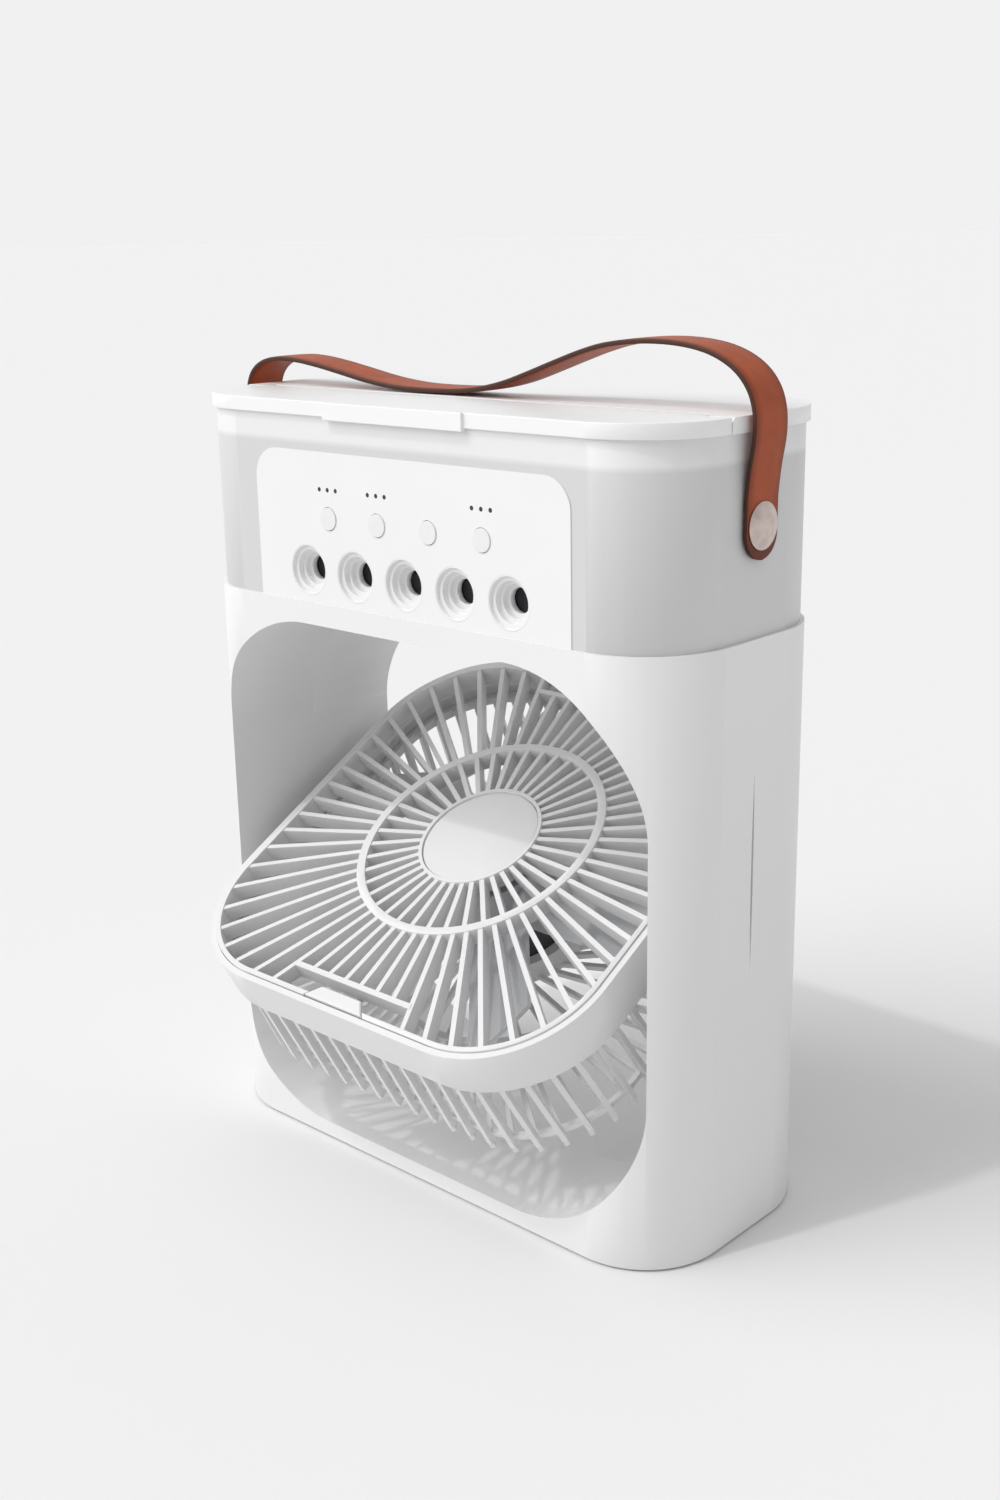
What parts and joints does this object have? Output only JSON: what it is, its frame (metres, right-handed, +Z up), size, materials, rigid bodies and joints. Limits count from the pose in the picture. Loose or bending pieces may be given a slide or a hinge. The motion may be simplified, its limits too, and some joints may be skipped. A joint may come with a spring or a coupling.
{
  "type": "desktop mist fan",
  "caption": "Box-shaped desktop mist fan: a tilting square fan head in a see-through window, a frosted water tank with a flip-up lid and mist nozzles above it, and a leather carrying strap.",
  "frame": {"origin": "the middle of the casing's footprint, on the plane of its rubber feet, at the foot in its middle", "axes": "+Z up, +X to the right seen from the front, and the front (control panel, nozzles and grille) faces -Y"},
  "size_m": [0.2222, 0.1677, 0.2844],
  "materials": {
    "casing": "satin white ABS",
    "lid": "satin white ABS",
    "tank": "frosted, lets light through",
    "panel": "smooth white",
    "button": "satin",
    "head": "satin white ABS",
    "impeller": "satin",
    "bush": "acetal",
    "rubber": "matte",
    "silicone": "matte",
    "steel": "bright",
    "rivet": "satin, warm nickel",
    "leather": "grained, satin",
    "disc": "dark",
    "wick": "felt",
    "board": "solder mask",
    "black_plastic": "satin",
    "motor": "satin black"
  },
  "bodies": {
    "casing": {"front_casing": "casing", "rear_casing": "casing", "base_plate": "casing", "rubber_feet": "rubber", "base_screws": "steel", "casing_screws": "steel", "tank_body": "tank", "tank_seal": "silicone", "fixed_lid": "lid", "lid_hinge_pin": "steel", "control_panel": "panel", "nozzle_rings": "panel", "mist_discs": "disc", "disc_seals": "silicone", "wick_sleeves": "bush", "wicks": "wick", "indicator_lenses": "black_plastic", "control_board": "board", "button_switches": "black_plastic", "power_inlet": "steel", "inlet_board": "board", "power_lead": "black_plastic", "strap": "leather", "right_rivet": "rivet", "left_rivet": "rivet", "right_bush": "bush", "left_bush": "bush"},
    "fan_head": {"head_shell": "head", "front_grille": "head", "hub_cap": "head", "grille_latches": "head", "rear_guard": "head", "guard_ribs": "head", "right_pivot": "head", "left_pivot": "head", "tilt_stops": "steel", "pivot_screws": "steel", "motor": "motor", "motor_screws": "steel"},
    "rotor": {"impeller": "impeller", "impeller_nut": "black_plastic", "motor_shaft": "steel"},
    "lid_flap": {"lid_flap": "lid"},
    "timer_button": {"timer_button": "button"},
    "mist_button": {"mist_button": "button"},
    "light_button": {"light_button": "button"},
    "speed_button": {"speed_button": "button"}
  },
  "joints": [
    {"name": "head_tilt", "type": "hinge", "parent": "casing", "child": "fan_head", "pos_m": [0, 0, 0.0986], "axis": [-1, 0, 0], "range_deg": [-61, 29]},
    {"name": "rotor_spin", "type": "hinge", "parent": "fan_head", "child": "rotor", "pos_m": [0, 0, 0.0986], "axis": [0, -0.4848, 0.8746], "continuous": true},
    {"name": "lid_hinge", "type": "hinge", "parent": "casing", "child": "lid_flap", "pos_m": [0, -0.0116, 0.2614], "axis": [-1, 0, 0], "range_deg": [0, 85]},
    {"name": "timer_press", "type": "slide", "parent": "casing", "child": "timer_button", "axis": [0, 1, 0], "range_m": [0, 0.0008], "stiffness_N_per_m": 600},
    {"name": "mist_press", "type": "slide", "parent": "casing", "child": "mist_button", "axis": [0, 1, 0], "range_m": [0, 0.0008], "stiffness_N_per_m": 600},
    {"name": "light_press", "type": "slide", "parent": "casing", "child": "light_button", "axis": [0, 1, 0], "range_m": [0, 0.0008], "stiffness_N_per_m": 600},
    {"name": "speed_press", "type": "slide", "parent": "casing", "child": "speed_button", "axis": [0, 1, 0], "range_m": [0, 0.0008], "stiffness_N_per_m": 600}
  ]
}
